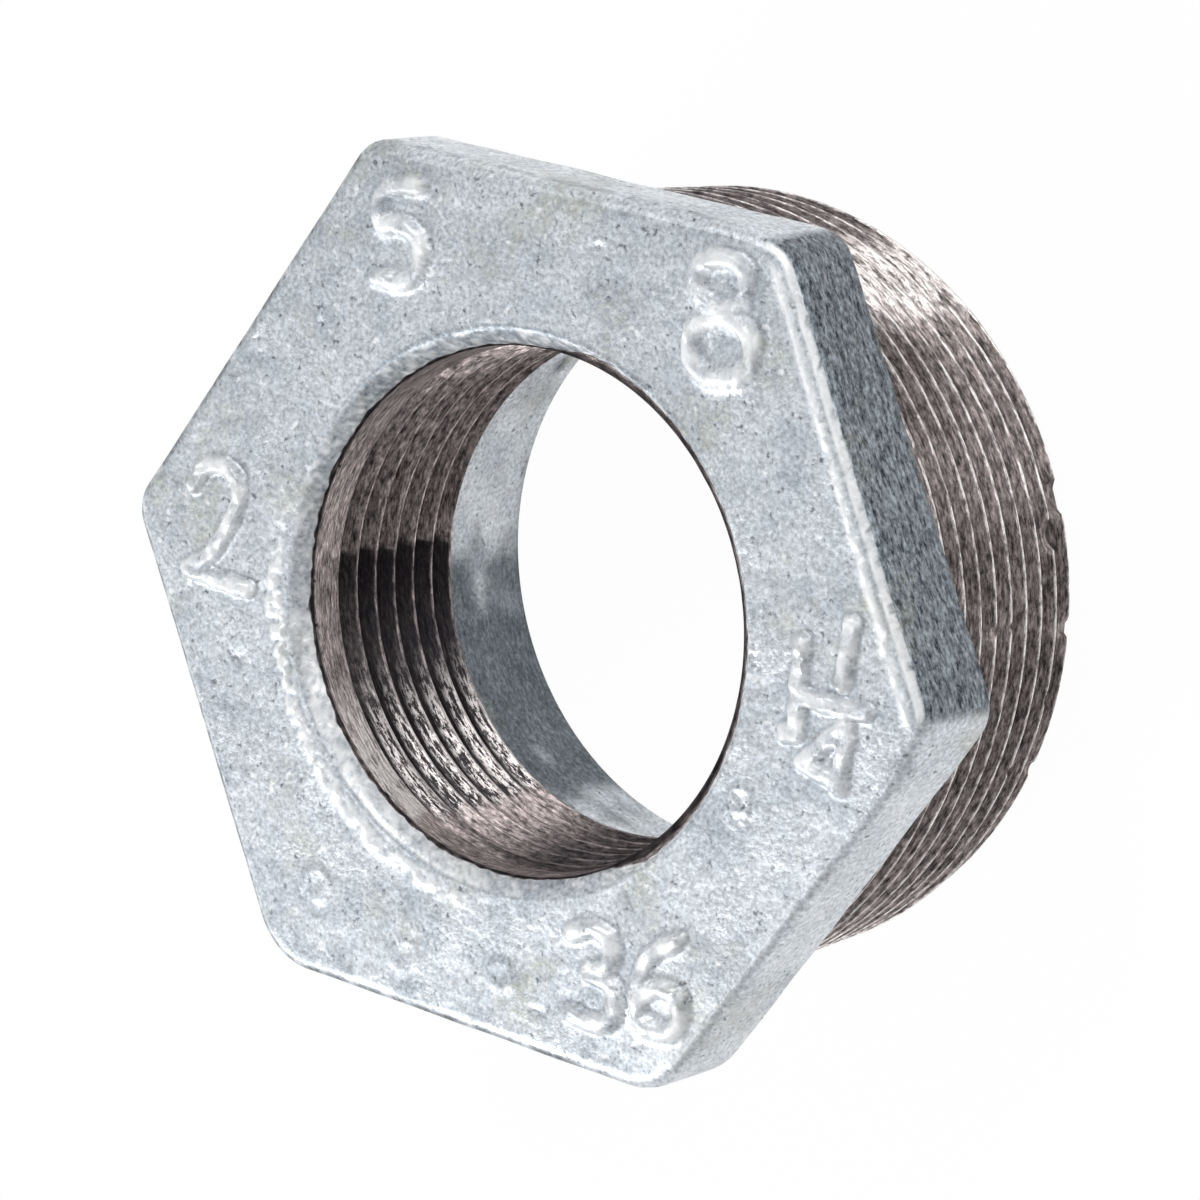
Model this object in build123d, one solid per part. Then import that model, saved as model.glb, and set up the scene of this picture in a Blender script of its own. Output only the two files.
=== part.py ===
from build123d import *
import math
import os

# Hex bushing: a 2 inch tapered pipe thread outside and a 1 1/4 inch one inside, in one iron casting.
# Millimetres and degrees. Z is the axis of both threads. The threaded end stands on z = 0, the hex head
# is on top, and two corners of the hexagon point along X.

# Hex head
across_flats = 63.2
head_height = 7.2
proud_height = 1.0  # one flat was cast this much further out than the rest
proud_flat_angle = 30  # the way that flat faces, counted round Z from +X
corner_radius = 3.2  # the four crisp corners of the casting
soft_corner_radius = 6.0  # the two corners that the mould left rounder
soft_corner_angles = (240, 300)  # where those two stand
face_edge_radius = 1.2  # rounding of the hexagon's edge at the open face
back_edge_bevel = 0.4  # bevel of the hexagon's edge at the underside

# Tapered pipe threads, 11 1/2 turns to the inch, 60 degree form
pitch = 25.4 / 11.5
taper = 1 / 32  # radius gained along each millimetre of axis
flank_angle = 30.0

# Outside thread
male_length = 23.7  # from the threaded end to the head
male_crest_radius = 29.3  # at the threaded end
male_depth = 1.6
male_start_angle = 292.0
end_chamfer = 1.7
vanish_turns = 0.75  # the groove climbs out of the metal over this share of a turn

# Inside thread
female_length = 17.5  # depth of the last full turn below the open face
female_crest_radius = 19.4  # at the open face
female_depth = 1.6
female_start_angle = 351.5
mouth_bevel = 1.2  # countersink between the open face and the bore
thread_below_mouth = 2.4  # plain bore between that countersink and the first turn

# Cast bore behind the inside thread
cast_bore_radius = 22.0
cast_bore_bevel = 0.5  # bevel of its edge at the threaded end

# Room that a cutting shape takes past the metal, so that no two faces meet edge to edge
cut_clearance = 0.15
past_end = 1.0

length = male_length + head_height
full_turn = 360
sides = 6
side_angle = full_turn // sides
corner_angles = range(0, full_turn, side_angle)


def flat_distance(angle):
    """How far from the axis the flat stands that faces this way."""
    proud = proud_height if angle % full_turn == proud_flat_angle else 0.0
    return across_flats / 2 + proud


def hex_corner(angle):
    """Point where the flats on either side of this corner meet."""
    half = side_angle / 2
    before = flat_distance(angle - half)
    after = flat_distance(angle + half)
    outward = (after + before) / 2 / math.cos(math.radians(half))
    sideways = (after - before) / 2 / math.sin(math.radians(half))
    return Vector(outward, sideways).rotate(Axis.Z, angle)


def hex_head():
    """The cast hexagon, with its upright corners and both rims rounded."""
    corners = [hex_corner(angle) for angle in corner_angles]
    outline = make_face(Polyline(*corners, close=True))
    for angle, corner in zip(corner_angles, corners):
        radius = soft_corner_radius if angle in soft_corner_angles else corner_radius
        vertex = min(outline.vertices(), key=lambda v: math.dist((v.X, v.Y), (corner.X, corner.Y)))
        outline = fillet(vertex, radius)
    head = Pos(0, 0, male_length) * extrude(outline, head_height)
    head = fillet(head.edges().group_by(Axis.Z)[-1], face_edge_radius)
    return chamfer(head.edges().group_by(Axis.Z)[0], back_edge_bevel)


def male_blank():
    """The tapered body under the head, chamfered where the thread starts."""
    top_radius = male_crest_radius + male_length * taper
    sunk = head_height / 2
    outline = Polyline(
        (0, 0),
        (male_crest_radius - end_chamfer, 0),
        (male_crest_radius + end_chamfer * taper, end_chamfer),
        (top_radius, male_length),
        (top_radius, male_length + sunk),
        (0, male_length + sunk),
        close=True,
    )
    return revolve(Plane.XZ * make_face(outline), Axis.Z)


def bore_core():
    """Everything that is open along the axis: the mouth, the inside thread's bore and the cast bore."""
    crest_end = female_crest_radius - female_length * taper
    step = cast_bore_radius - crest_end
    thread_end = length - female_length
    mouth_start = female_crest_radius - mouth_bevel * taper
    outline = Polyline(
        (0, -past_end),
        (cast_bore_radius + cast_bore_bevel + past_end, -past_end),
        (cast_bore_radius, cast_bore_bevel),
        (cast_bore_radius, thread_end - step),
        (crest_end, thread_end),
        (mouth_start, length - mouth_bevel),
        (mouth_start + mouth_bevel + past_end, length + past_end),
        (0, length + past_end),
        close=True,
    )
    return revolve(Plane.XZ * make_face(outline), Axis.Z)


def groove_profile(root_radius, open_radius):
    """Corners of the 60 degree groove, as height above its middle and radius, round the section."""
    half_open = abs(open_radius - root_radius) * math.tan(math.radians(flank_angle))
    return [(-half_open, open_radius), (half_open, open_radius), (0.0, root_radius)]


def helix_edge(z, radius, turns, slope, angle):
    """One edge of the groove, climbing for a share of a turn while its radius grows by slope."""
    cone = math.atan(slope)
    pitch_along_cone = pitch / math.cos(cone)
    helix = Helix(pitch_along_cone, pitch * turns, radius, center=(0, 0, z), cone_angle=math.degrees(cone))
    return helix.edge().rotate(Axis.Z, angle)


def thread_groove(profile, z, angle, turns, vanish_slope):
    """Solid that cuts a tapered groove upwards from z, and at its end climbs out of the metal.

    It is built in stretches of less than a turn, each with one ruled face between neighbouring edges.
    """
    count = math.ceil(turns)
    stretches = [(turns / count, taper)] * count + [(vanish_turns, vanish_slope)]
    faces = []
    turned = growth = 0.0
    for share, slope in stretches:
        edges = [
            helix_edge(z + above + pitch * turned, radius + growth, share, slope, angle + full_turn * turned)
            for above, radius in profile
        ]
        if not faces:
            faces.append(Face(Wire.make_polygon([edge @ 0 for edge in edges])))
        faces += [Face.make_surface_from_curves(a, b) for a, b in zip(edges, edges[1:] + edges[:1])]
        turned += share
        growth += pitch * share * slope
    faces.append(Face(Wire.make_polygon([edge @ 1 for edge in edges])))
    return Solid(Shell(faces))


def male_groove():
    """Groove of the outside thread: it enters through the chamfered end and vanishes below the head."""
    start = -pitch
    crest = male_crest_radius + start * taper
    profile = groove_profile(crest - male_depth, crest + cut_clearance)
    half_open = profile[1][0]
    top = male_length - half_open - cut_clearance
    turns = (top - start) / pitch - vanish_turns
    vanish_slope = (male_depth + cut_clearance) / (vanish_turns * pitch)
    return thread_groove(profile, start, male_start_angle, turns, vanish_slope)


def female_groove():
    """Groove of the inside thread: it enters through the cast bore and vanishes below the mouth."""
    start = length - female_length - pitch
    crest = female_crest_radius - (female_length + pitch) * taper
    profile = groove_profile(crest + female_depth, crest - cut_clearance)
    top = length - mouth_bevel - thread_below_mouth
    turns = (top - start) / pitch - vanish_turns
    vanish_slope = -(female_depth + cut_clearance) / (vanish_turns * pitch)
    return thread_groove(profile, start, female_start_angle, turns, vanish_slope)


def bushing():
    """The whole casting with both threads cut."""
    return hex_head() + male_blank() - bore_core() - male_groove() - female_groove()


os.makedirs("parts", exist_ok=True)
export_step(bushing(), "parts/hex_bushing.step")
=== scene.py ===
import bpy
import bmesh
import math
from mathutils import Matrix, Vector, noise


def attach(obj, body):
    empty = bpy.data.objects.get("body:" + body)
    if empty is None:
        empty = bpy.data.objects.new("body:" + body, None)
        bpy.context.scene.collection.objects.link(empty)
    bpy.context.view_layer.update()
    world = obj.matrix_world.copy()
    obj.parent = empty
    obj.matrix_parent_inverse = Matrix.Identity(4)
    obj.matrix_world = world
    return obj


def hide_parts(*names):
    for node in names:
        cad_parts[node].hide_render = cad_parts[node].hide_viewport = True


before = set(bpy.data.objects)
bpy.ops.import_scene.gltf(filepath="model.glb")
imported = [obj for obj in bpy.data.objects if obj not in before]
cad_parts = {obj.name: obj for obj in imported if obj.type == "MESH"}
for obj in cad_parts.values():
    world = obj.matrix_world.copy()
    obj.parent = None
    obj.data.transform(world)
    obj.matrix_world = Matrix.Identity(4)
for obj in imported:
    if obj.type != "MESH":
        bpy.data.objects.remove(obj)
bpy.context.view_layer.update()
bodyName = "root"
nodeName = "hex_bushing"
mm = 0.001
fullTurn = 2 * math.pi


def lerp(a, b, share):
    return a + (b - a) * share


def clamp(value, low=0.0, high=1.0):
    return max(low, min(high, value))


def smooth(low, high, value):
    share = clamp((value - low) / (high - low))
    return share * share * (3 - 2 * share)


def between(low, high, value, soft):
    # 1 from low to high and 0 outside, with soft ends
    return smooth(low - soft, low + soft, value) * (1 - smooth(high - soft, high + soft, value))


def lumps(x, y, z, size, seed):
    # soft unevenness from -1 to 1, about as wide as size; each seed gives other lumps
    return noise.noise(Vector((x / size + seed, y / size - seed, z / size + 3.7 * seed)))


def polar(angle, radius):
    return radius * math.cos(angle), radius * math.sin(angle)


def spun(x, y, angle):
    # a point turned round Z
    return x * math.cos(angle) - y * math.sin(angle), x * math.sin(angle) + y * math.cos(angle)


def signed(degrees):
    # the same direction, counted from -180 to 180
    return (degrees + 180) % 360 - 180


# sizes are in millimetres and angles in degrees, unless a note says otherwise
sideAngle = 60
halfSide = 30
hexHead = {
    "acrossFlats": 63.2,
    "proudFlat": 1.0,  # one flat stands this much further out
    "proudAngle": 30,
    "proudLean": (0.3, 0.85),  # how far that flat leans in at the face, at its upper and at its lower end
    "leanZone": (-3.5, 62, 3.5),  # first and last degree of the lean, and how softly it ends
    "cornerRadius": 3.2,
    "softRadius": 6.0,
    "softCorners": (240, 300),
    "leastRadius": 0.3,
    "cornerStep": 3,  # degrees between the points of a rounded corner
    "top": 30.9,
    "bottom": 23.7,
    "edgeRound": 1.2,
    "backBevel": 0.4,
    "waviness": 0.09,  # how far the cast face rises and falls
    "waveSizes": (9.0, 3.6),  # how wide its long and its short waves are
    "grit": 0.022,  # the same for its fine roughness
    "gritSizes": (1.1, 0.6),
    "rimCalm": 0.3,  # share of both that is left at the face's two rims
    "flatWaviness": 0.1,
    "flatWaveSize": 5.0,
    "edgeWaveLevel": 28,  # height at which the rounded edge takes its waves
    "flatsIn": 0.08,  # how far the flats lie in, so that their waves stay inside the solid
    "ringsOnFace": 52,
    "ringsOnEdge": 6,
    "ringsOnFlank": 7,
}

grid = {
    "fine": 600,  # points round the head; the threads and the bore have half as many
    "gather": 0.5,  # how strongly the points crowd towards the numerals
}

# pipe threads, both 11 1/2 turns to the inch
threadPitch = 25.4 / 11.5
threadTaper = 1 / 32
halfFlank = math.tan(math.radians(30))
# rows across one turn of a thread, as shares of the pitch from the middle of the groove
turnRows = (-0.46, -0.21, -0.03, 0.03, 0.21, 0.46, 0.5)

# a thread's dark zones are painted shade: degrees between which the cut metal turns dark and clears again,
# and how dark it gets; its glint is painted highlight, the zone of bright tears, in degrees too
outsideThread = {
    "crestRadius": 29.3,  # at the threaded end
    "depth": 1.6,
    "startAngle": 292,
    "startHeight": -threadPitch,
    "fullTurns": 10.455,
    "fadeTurns": 0.75,
    "chamferRadius": 27.6,
    "bottom": 0.0,
    "top": 23.7,
    "turnsInMesh": 14,
    "nickDepth": 0.2,
    "nickSize": 0.9,
    "nickEdge": (0.48, 0.66),  # where the lumps are higher than this, the crest is nicked
    "nickFree": (0.4, 0.1),  # the nicks fade out between these distances from the head
    # where each chip lies, in degrees and height, and how far it reaches
    "chips": [(24, 1.6, 2.6, 1.2), (19, 3.9, 2.0, 0.8), (5, 1.7, 1.7, 1.0), (-5, 2.9, 1.5, 1.0),
              (-17, 1.4, 1.2, 0.9)],
    "chipDepth": 0.55,
    "dark": [(69, 79, 105, 120, 0.6), (8, 25, 46, 56, 0.3)],
    "glint": (52, 60, 66, 74),
}

insideThread = {
    "crestRadius": 19.4,  # at the open face
    "depth": 1.6,
    "startAngle": 351.5,
    "startHeight": 30.9 - 17.5 - threadPitch,
    "fullTurns": 6.546,
    "fadeTurns": 0.75,
    "stepTop": 13.4,
    "bottom": 10.253,
    "top": 29.35,
    "turnsInMesh": 11,
    "dark": [(181, 183, 246, 248, 1.0), (247, 274, 310, 345, 0.85)],
    "glint": (204, 230, 246, 248),
}

# how far the ends of these zones wander, in degrees, and over what width
zoneWander = 1.5
zoneWanderSize = 0.8
# heights between which the painted shade of the dark zones turns paler towards the mouth, and by how much
palerTowardsMouth = [(23.5, 27.5, 0.3), (28.2, 28.8, 0.65)]

mouth = {
    "boreRadius": 19.36,
    "round": 1.35,
    "bevelShare": 0.7,  # 0 is a plain round, 1 is a plain 45 degree bevel
    "zincRings": 5,
    "ironRings": 3,
    "zincEnds": 77,  # degrees down the round where the zinc stops
    "zincEndsCut": 14,  # the same where the cutter stood nearer to the wall
    "cutFrom": -52,
    "cutTo": 84,
    "cutSoft": 9,
    "endsAtMost": 88,
    "raggedness": 9,
    "lumpiness": 0.1,
    "lumpRadius": 20,  # the mouth's lumps are taken from a circle this wide
    "paintedShadeAtTop": 0.65,  # how dark the painted shade at the top of the mouth is
    "paintedShadeFrom": 40,
    "paintedShadeTo": 150,
    "white": 0.15,  # how white the lip's zinc is, how much that swings and over what width
    "whiteSwing": 0.9,
    "whiteSize": 0.5,
    "whiteFrom": 195,  # painted light makes it whiter than that here
    "whiteTo": 275,
    "whiter": 0.3,
    "soft": 12,  # how softly these zones end
    "zincCrest": 0.7,  # how bright the iron is where it meets the zinc, 1 is the top of a thread
    "ironCrest": 0.25,  # the same below that; so low that the iron takes the dark root colour as painted shade
}

castBore = {
    "radius": 22.0,
    "bevel": 0.5,
    "endRing": 25.0,  # a ring of points halfway across the threaded end's flat face
    "rings": 9,
    "waviness": 0.12,
    "waveSize": 4.0,
    # painted shade on the lower left of the cast wall: first and last degree, how softly and raggedly it
    # ends, how dark
    "darkFrom": 190,
    "darkTo": 250,
    "darkSoft": 12,
    "darkRagged": 22,
    "darkAmount": 0.92,
    "spot": (146, 2.6),  # a dark flaw, in degrees and height
    "spotSize": 1.3,
}

# raised numerals on the face, as points along each stroke
numerals = {
    "height": 0.58,
    "halfWidth": 0.52,
    "slope": 0.34,
    "reach": 2,  # further than this from a stroke nothing is raised
    "beside": (22.5, 9),  # the numerals lie past this X and within this Y
    "corners": (6, 23, 18),  # the mould numbers lie between these X and past this Y
    "wander": 0.16,  # how far the strokes' edges wander
    "wanderSize": 0.8,
    "roughness": 0.4,  # how uneven the strokes' tops are
    "roughSize": 0.9,
    "two": [(-30.4, 2.6), (-29.6, 4.3), (-28.0, 4.9), (-26.1, 4.0), (-25.9, 2.1), (-26.7, 0.0),
            (-27.9, -2.2), (-30.0, -3.7)],
    "twoBase": [(-30.0, -3.7), (-27.6, -3.9), (-24.2, -4.0)],
    "bigOne": [(24.8, 4.2), (25.05, 1.0), (25.3, -2.3)],
    "bigOneFoot": [(25.3, -2.3), (24.5, -2.4)],
    "smallOne": [(28.6, 6.4), (28.6, 2.1)],
    "bar": [(25.8, 0.4), (30.7, 0.6)],
    "fourUpright": [(29.4, -0.6), (29.5, -5.0)],
    "fourArm": [(29.4, -0.6), (26.3, -4.1), (29.2, -4.6)],
}

# plain mould numbers: strokes of each digit in a box one unit high, about this middle
digitMiddle = (0.3, 0.5)
digits = {
    "5": [[(0.58, 1), (0.1, 1), (0.05, 0.56), (0.3, 0.64), (0.56, 0.5), (0.6, 0.26), (0.42, 0.03),
           (0.02, 0.08)]],
    "8": [[(0.3, 0.54), (0.06, 0.66), (0.06, 0.92), (0.3, 1.0), (0.54, 0.92), (0.54, 0.66), (0.3, 0.54)],
          [(0.3, 0.54), (0.0, 0.4), (0.0, 0.1), (0.3, 0.0), (0.6, 0.1), (0.6, 0.4), (0.3, 0.54)]],
    "3": [[(0.04, 0.92), (0.3, 1.03), (0.56, 0.9), (0.54, 0.64), (0.26, 0.54)],
          [(0.26, 0.54), (0.58, 0.46), (0.62, 0.14), (0.36, -0.02), (0.02, 0.08)]],
    "6": [[(0.54, 0.98), (0.2, 0.84), (0.02, 0.42), (0.06, 0.06), (0.3, 0.0), (0.58, 0.08), (0.58, 0.42),
           (0.3, 0.5), (0.05, 0.34)]],
}

mouldTurn = 8.9
mouldNumbers = {
    "upperLeft": {"digit": "5", "middle": (-14.0, 25.0), "size": 7.4},
    "upperRight": {"digit": "8", "middle": (14.6, 24.9), "size": 8.8},
    "lowerFirst": {"digit": "3", "middle": (11.2, -24.2), "size": 7.0},
    "lowerSecond": {"digit": "6", "middle": (16.9, -23.2), "size": 7.0},
}


def rounded(points, passes=2):
    # cuts a line's corners so that it bends softly
    for _ in range(passes):
        softer = [points[0]]
        for (ax, ay), (bx, by) in zip(points, points[1:]):
            softer += [(lerp(ax, bx, share), lerp(ay, by, share)) for share in (0.25, 0.75)]
        softer.append(points[-1])
        points = softer
    return points


def strokesOf(names, passes=2):
    pieces = []
    for name in names:
        line = rounded(numerals[name], passes)
        pieces += [(a, b) for a, b in zip(line, line[1:])]
    return pieces


def mouldStrokes():
    pieces = []
    for place in mouldNumbers.values():
        for line in digits[place["digit"]]:
            placed = []
            for u, v in rounded(line):
                x, y = (u - digitMiddle[0]) * place["size"], (v - digitMiddle[1]) * place["size"]
                x, y = spun(x, y, math.radians(mouldTurn))
                placed.append((place["middle"][0] + x, place["middle"][1] + y))
            pieces += list(zip(placed, placed[1:]))
    return pieces


sideStrokes = strokesOf(["two"])
sideStrokes += strokesOf(["twoBase", "bigOne", "bigOneFoot", "smallOne", "bar", "fourUpright", "fourArm"], 0)
cornerStrokes = mouldStrokes()


def distanceTo(x, y, a, b):
    dx, dy = b[0] - a[0], b[1] - a[1]
    share = clamp(((x - a[0]) * dx + (y - a[1]) * dy) / (dx * dx + dy * dy))
    return math.hypot(x - a[0] - share * dx, y - a[1] - share * dy)


def numeralHeight(x, y):
    pastX, withinY = numerals["beside"]
    innerX, outerX, pastY = numerals["corners"]
    if abs(y) < withinY and abs(x) > pastX:
        strokes = sideStrokes
    elif abs(y) > pastY and innerX < abs(x) < outerX:
        strokes = cornerStrokes
    else:
        return 0.0
    near = min(distanceTo(x, y, a, b) for a, b in strokes)
    if near > numerals["reach"]:
        return 0.0
    near += numerals["wander"] * lumps(x, y, 0, numerals["wanderSize"], 5.1)
    edge = numerals["halfWidth"]
    rise = 1 - smooth(edge - numerals["slope"] / 2, edge + numerals["slope"], near)
    uneven = 1 + numerals["roughness"] * lumps(x, y, 0, numerals["roughSize"], 8.3)
    return numerals["height"] * rise * uneven


# marks that casting and zinc left on the face; each slope is where a mark begins to fall and where it ends,
# and "uneven" is what its height is multiplied by: on average, how much that swings, and over what width
roughSpot = {
    "middle": (21.6, -8.7),
    "size": (1.3, 1.9),
    "slope": (0.7, 1.2),  # as shares of its size
    "height": 0.16,
    "uneven": (0.4, 1.3, 0.55),
}
pits = {
    "places": [(20.9, 2.1), (21.2, 1.5), (-24.5, -9.5), (-20.3, 17.2), (3.5, 27.6), (6.6, -28.2)],
    "slope": (0.1344, 0.448),
    "depth": 0.3,
}
smallRings = {
    "places": [(-14.6, -24.4), (-5.7, -27.5), (3.1, -26.5)],
    "radius": 1.0,
    "slope": (0.1, 0.6),
    "height": 0.13,
    "uneven": (0.8, 1.0, 1.1),
}
# the zinc ridge beside the bore, between two angles round the axis
ridge = {
    "ends": (178, 262),
    "soft": 12,
    "radius": 21.9,
    "outerReach": 24,
    "slope": (0.2, 0.95),
    "height": 0.26,
    "uneven": (0.55, 2.0, 0.75),
    "most": 1.6,
    "wander": 0.5,
    "wanderSize": 2.4,
}
# the bead of zinc along the proud flat's edge, between two places on that edge
bead = {
    "ends": (-16.6, 16.4),
    "soft": 0.8,
    "inset": 0.5,
    "slope": (0.1, 0.6),
    "height": 0.2,
    "uneven": (0.8, 1.0, 1.0),
    "most": 1.5,
    "wander": 0.2,
    "wanderSize": 3.0,
}


def uneven(mark, x, y, seed):
    average, swing, size = mark["uneven"]
    return average + swing * lumps(x, y, 0, size, seed)


def spotHeight(x, y):
    middle, size = roughSpot["middle"], roughSpot["size"]
    away = math.hypot((x - middle[0]) / size[0], (y - middle[1]) / size[1])
    if away > roughSpot["slope"][1]:
        return 0.0
    return roughSpot["height"] * (1 - smooth(*roughSpot["slope"], away)) * uneven(roughSpot, x, y, 2.6)


def pitHeight(x, y):
    places = pits["places"]
    return -sum(pits["depth"] * (1 - smooth(*pits["slope"], math.hypot(x - px, y - py))) for px, py in places)


def smallRingHeight(x, y):
    height = 0.0
    for px, py in smallRings["places"]:
        away = abs(math.hypot(x - px, y - py) - smallRings["radius"])
        if away < smallRings["slope"][1]:
            rise = smallRings["height"] * (1 - smooth(*smallRings["slope"], away))
            height += rise * uneven(smallRings, x, y, 3.9)
    return height


def ridgeHeight(x, y):
    reach = math.hypot(x, y)
    share = between(*ridge["ends"], math.degrees(math.atan2(y, x)) % 360, ridge["soft"])
    if share == 0 or reach > ridge["outerReach"]:
        return 0.0
    line = ridge["radius"] + ridge["wander"] * lumps(x, y, 0, ridge["wanderSize"], 6.6)
    rise = ridge["height"] * share * (1 - smooth(*ridge["slope"], abs(reach - line)))
    return rise * clamp(uneven(ridge, x, y, 1.9), 0, ridge["most"])


def beadHeight(x, y):
    across, along = spun(x, y, -math.radians(hexHead["proudAngle"]))
    share = between(*bead["ends"], along, bead["soft"])
    if across < 0 or share == 0:
        return 0.0
    line = hexHead["acrossFlats"] / 2 + hexHead["proudFlat"] - hexHead["edgeRound"] - bead["inset"]
    line += bead["wander"] * lumps(x, y, 0, bead["wanderSize"], 7.2) - lean(math.atan2(y, x), hexHead["top"])
    rise = bead["height"] * share * (1 - smooth(*bead["slope"], abs(across - line)))
    return rise * clamp(uneven(bead, x, y, 4.8), 0, bead["most"])


def flatDistance(angle):
    proud = hexHead["proudFlat"] if angle % 360 == hexHead["proudAngle"] else 0.0
    return hexHead["acrossFlats"] / 2 + proud


def hexOutline(inset):
    # points round the rounded hexagon, pulled in by inset
    half = math.radians(halfSide)
    points = []
    for angle in range(0, 360, sideAngle):
        before = flatDistance(angle - halfSide) - inset
        after = flatDistance(angle + halfSide) - inset
        outward = (after + before) / 2 / math.cos(half)
        sideways = (after - before) / 2 / math.sin(half)
        radius = hexHead["softRadius"] if angle in hexHead["softCorners"] else hexHead["cornerRadius"]
        radius = max(radius - inset, hexHead["leastRadius"])
        for step in range(-halfSide, halfSide + 1, hexHead["cornerStep"]):
            x, y = polar(math.radians(step), radius)
            points.append(spun(outward - radius / math.cos(half) + x, sideways + y, math.radians(angle)))
    return points


def crossing(outline, angle):
    # how far out the outline lies in this direction
    dx, dy = math.cos(angle), math.sin(angle)
    best = 0.0
    for (ax, ay), (bx, by) in zip(outline, outline[1:] + outline[:1]):
        sideA = ax * dy - ay * dx
        sideB = bx * dy - by * dx
        if sideA * sideB <= 0 and sideA != sideB:
            share = sideA / (sideA - sideB)
            reach = lerp(ax, bx, share) * dx + lerp(ay, by, share) * dy
            best = max(best, reach)
    return best


def gathered(index, count):
    # the angle of a point, crowded towards the two numerals on the X axis
    plain = fullTurn * index / count
    return plain - grid["gather"] / 2 * math.sin(2 * plain)


fineAngles = [gathered(index, grid["fine"]) for index in range(grid["fine"])]
coarseAngles = fineAngles[::2]
print("sizes and outline set")


class Skin:
    # the mesh as it grows: each point has three values that steer the finishes, each face has its finish
    def __init__(self):
        self.points = []
        self.crest = []
        self.shade = []
        self.whiteAndPaintedGlint = []
        self.faces = []
        self.finish = []

    def point(self, x, y, z, crest=0.0, shade=0.0, whiteAndPaintedGlint=0.0):
        self.points.append((x * mm, y * mm, z * mm))
        self.crest.append(crest)
        self.shade.append(shade)
        self.whiteAndPaintedGlint.append(whiteAndPaintedGlint)
        return len(self.points) - 1

    def ring(self, angles, radii, heights, crest=0.0, shades=None, whiteAndPaintedGlint=None):
        shades = shades or [0.0] * len(angles)
        whiteAndPaintedGlint = whiteAndPaintedGlint or [0.0] * len(angles)
        return [self.point(*polar(a, r), z, crest, shade, up)
                for a, r, z, shade, up in zip(angles, radii, heights, shades, whiteAndPaintedGlint)]

    def circle(self, radius, height):
        count = len(coarseAngles)
        return self.ring(coarseAngles, [radius] * count, [height] * count)

    def face(self, corners, finish):
        self.faces.append(corners)
        self.finish.append(finish)

    def join(self, inner, outer, finish):
        # quads between two rings; a ring with half as many points meets every second one
        count = len(inner)
        if len(outer) == count:
            for i in range(count):
                k = (i + 1) % count
                self.face((inner[i], outer[i], outer[k], inner[k]), finish)
            return
        fine, coarse, flip = (inner, outer, False) if len(inner) > len(outer) else (outer, inner, True)
        for i in range(len(coarse)):
            a, b, c = fine[2 * i], fine[2 * i + 1], fine[(2 * i + 2) % len(fine)]
            p, q = coarse[i], coarse[(i + 1) % len(coarse)]
            for corners in ((a, p, b), (b, p, q), (b, q, c)):
                self.face(corners[::-1] if flip else corners, finish)


# the finishes, in the order in which the piece takes them up below
zincFace, zincFlats, outsideIron, insideIron, zincBore = range(5)
skin = Skin()

# how white the zinc is where it stands up: whiter zinc and painted highlight
whiteTops = {
    "strokes": 0.42,
    "patchiness": 0.7,  # how much that differs from place to place
    "patchSize": 1.4,
    "strokeFull": 0.3,  # height from which a stroke is as white as it gets
    "gathered": 0.6,
    "gatheredFull": 0.1,  # the same for gathered zinc
}


def faceHeight(x, y):
    # returns the height and how white the zinc is there, painted highlight included
    longWave, shortWave = hexHead["waveSizes"]
    coarse, fine = hexHead["gritSizes"]
    wave = hexHead["waviness"] * (lumps(x, y, 0, longWave, 1.3) + 0.5 * lumps(x, y, 0, shortWave, 2.9))
    grit = hexHead["grit"] * (lumps(x, y, 0, coarse, 4.4) + lumps(x, y, 0, fine, 6.2))
    stroke = numeralHeight(x, y)
    zinc = ridgeHeight(x, y) + beadHeight(x, y)
    marks = spotHeight(x, y) + pitHeight(x, y) + smallRingHeight(x, y) + zinc
    patch = whiteTops["patchiness"] * lumps(x, y, 0, whiteTops["patchSize"], 7.9)
    white = clamp(whiteTops["strokes"] + patch) * clamp(stroke / whiteTops["strokeFull"])
    white += whiteTops["gathered"] * clamp(zinc / whiteTops["gatheredFull"])
    return hexHead["top"] + wave + grit + stroke + marks, clamp(white)


# how much painted shade the zinc has: zones as their first and last degree and how softly they end
shadeZones = {
    "proudFlat": (-28.2, 30.3, 1.0),  # counted from the middle of that flat
    "rimTop": (66, 118, 3),
    "rimTopAmount": 0.5,
    "rimTopDepth": (0.85, 0.98),  # how far down the rim the line begins, 1 is its lower end
    "rimSides": (118, 294, 5),
    "rimSidesDepth": (0.3, 0.6),
    "rimFade": 0.16,  # share of the flat over which the line fades out below the rim
    "rimRadius": 34,  # the rim's lumps are taken from a circle this wide
    "rimLumpSize": 1.1,
    "edgeRadius": 30,
    "edgeLumpSize": 0.9,
}


def flatShade(angle):
    # how dark the cast flat is here: the proud flat's zinc is thin and takes painted shade, the others are
    # pale
    first, last, soft = shadeZones["proudFlat"]
    return between(first, last, signed(math.degrees(angle) - hexHead["proudAngle"]), soft)


def rimShade(angle, rim):
    # painted shade: a thin ragged dark line runs along the rim, except beside the pale flat at the lower
    # right
    degrees = math.degrees(angle)
    x, y = polar(angle, shadeZones["rimRadius"])
    ragged = clamp(0.8 + 1.3 * lumps(x, y, 0, shadeZones["rimLumpSize"], 2.4))
    first, last, soft = shadeZones["rimTop"]
    overTop = shadeZones["rimTopAmount"] * between(first, last, degrees, soft)
    overTop *= smooth(*shadeZones["rimTopDepth"], rim)
    first, last, soft = shadeZones["rimSides"]
    atSides = between(first, last, degrees, soft) * smooth(*shadeZones["rimSidesDepth"], rim)
    return ragged * max(overTop, atSides)


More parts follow.
